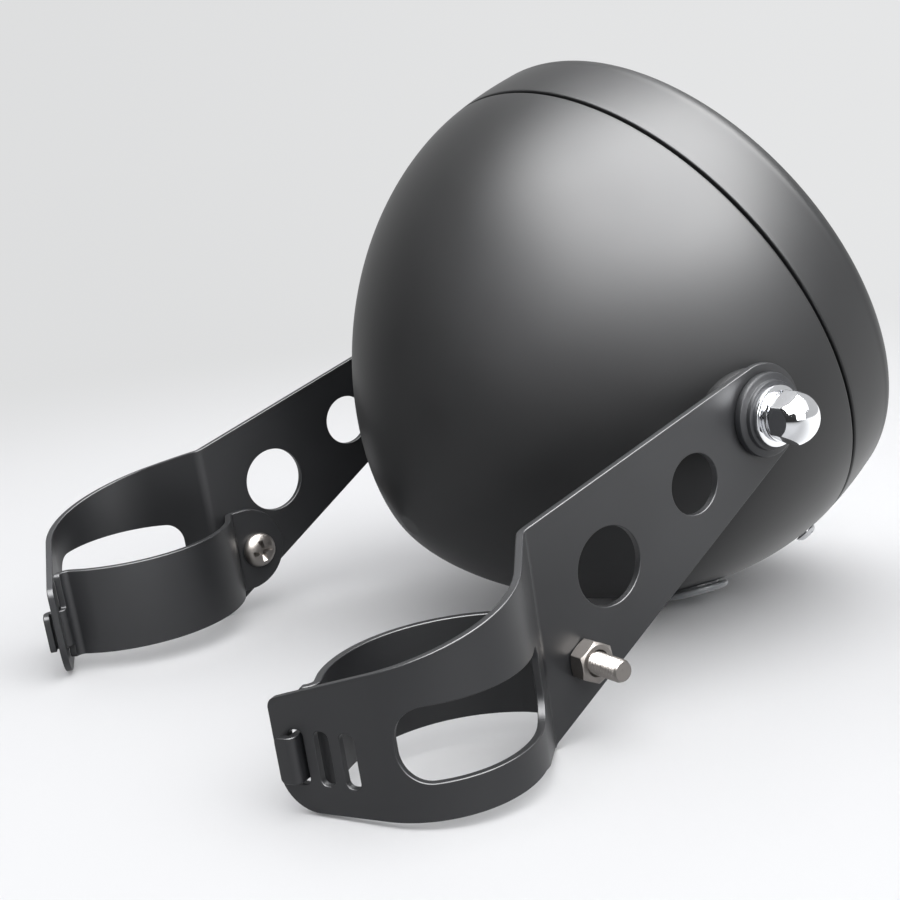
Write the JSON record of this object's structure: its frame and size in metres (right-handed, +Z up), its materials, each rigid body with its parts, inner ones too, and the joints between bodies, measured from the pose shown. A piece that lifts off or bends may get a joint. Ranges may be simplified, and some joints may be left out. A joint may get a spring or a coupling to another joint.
{
  "type": "motorcycle headlight",
  "caption": "Round bucket headlight with a trim rim, wire outlet and pivoting side brackets whose hook straps wrap around the fork tubes.",
  "frame": {"origin": "middle of the pivot axis, halfway between the two bracket pivots", "axes": "+X along the pivot axis to the side whose bracket is nearest in the picture (the right side), +Y forward, level, on the lens side, +Z up with the part lying as in the picture; the beam axis rises 27.3 degrees from +Y"},
  "size_m": [0.217, 0.239, 0.1719],
  "materials": {
    "black_paint": "satin black powder coat",
    "black_bracket_paint": "satin black powder coat on sheet steel",
    "lens_glass": "clear fluted glass",
    "black_rubber": "black moulded rubber",
    "bright_reflector": "vacuum-metallised bowl",
    "bulb_glass": "clear quartz",
    "chrome_hardware": "bright chrome plate",
    "zinc_steel": "zinc-plated steel"
  },
  "bodies": {
    "lamp": {"bucket_shell": "black_paint", "trim_rim": "black_paint", "lens_glass": "lens_glass", "lens_gasket": "black_rubber", "reflector": "bright_reflector", "retaining_ring": "zinc_steel", "ring_screws": "zinc_steel", "bulb_glass": "bulb_glass", "bulb_base": "zinc_steel", "bulb_clip": "zinc_steel", "bulb_plug": "black_rubber", "dust_boot": "black_rubber", "wire_grommet": "black_rubber", "left_rim_screw": "zinc_steel", "right_rim_screw": "zinc_steel", "left_pivot_bolt": "zinc_steel", "right_pivot_bolt": "zinc_steel", "left_inner_bush": "black_rubber", "right_inner_bush": "black_rubber", "left_outer_bush": "black_rubber", "right_outer_bush": "black_rubber", "left_flat_washer": "chrome_hardware", "right_flat_washer": "chrome_hardware", "left_spring_washer": "chrome_hardware", "right_spring_washer": "chrome_hardware", "left_acorn_nut": "chrome_hardware", "right_acorn_nut": "chrome_hardware"},
    "left_side_bracket": {"left_bracket": "black_bracket_paint", "left_hook_strap": "black_bracket_paint", "left_clamp_screw": "zinc_steel", "left_clamp_nut": "zinc_steel"},
    "right_side_bracket": {"right_bracket": "black_bracket_paint", "right_hook_strap": "black_bracket_paint", "right_clamp_screw": "zinc_steel", "right_clamp_nut": "zinc_steel"}
  },
  "joints": [
    {"name": "left_bracket_pivot", "type": "hinge", "parent": "lamp", "child": "left_side_bracket", "pos_m": [-0.0872, 0, 0], "axis": [1, 0, 0], "range_deg": [-35, 35]},
    {"name": "right_bracket_pivot", "type": "hinge", "parent": "lamp", "child": "right_side_bracket", "pos_m": [0.0872, 0, 0], "axis": [1, 0, 0], "range_deg": [-35, 35]}
  ]
}
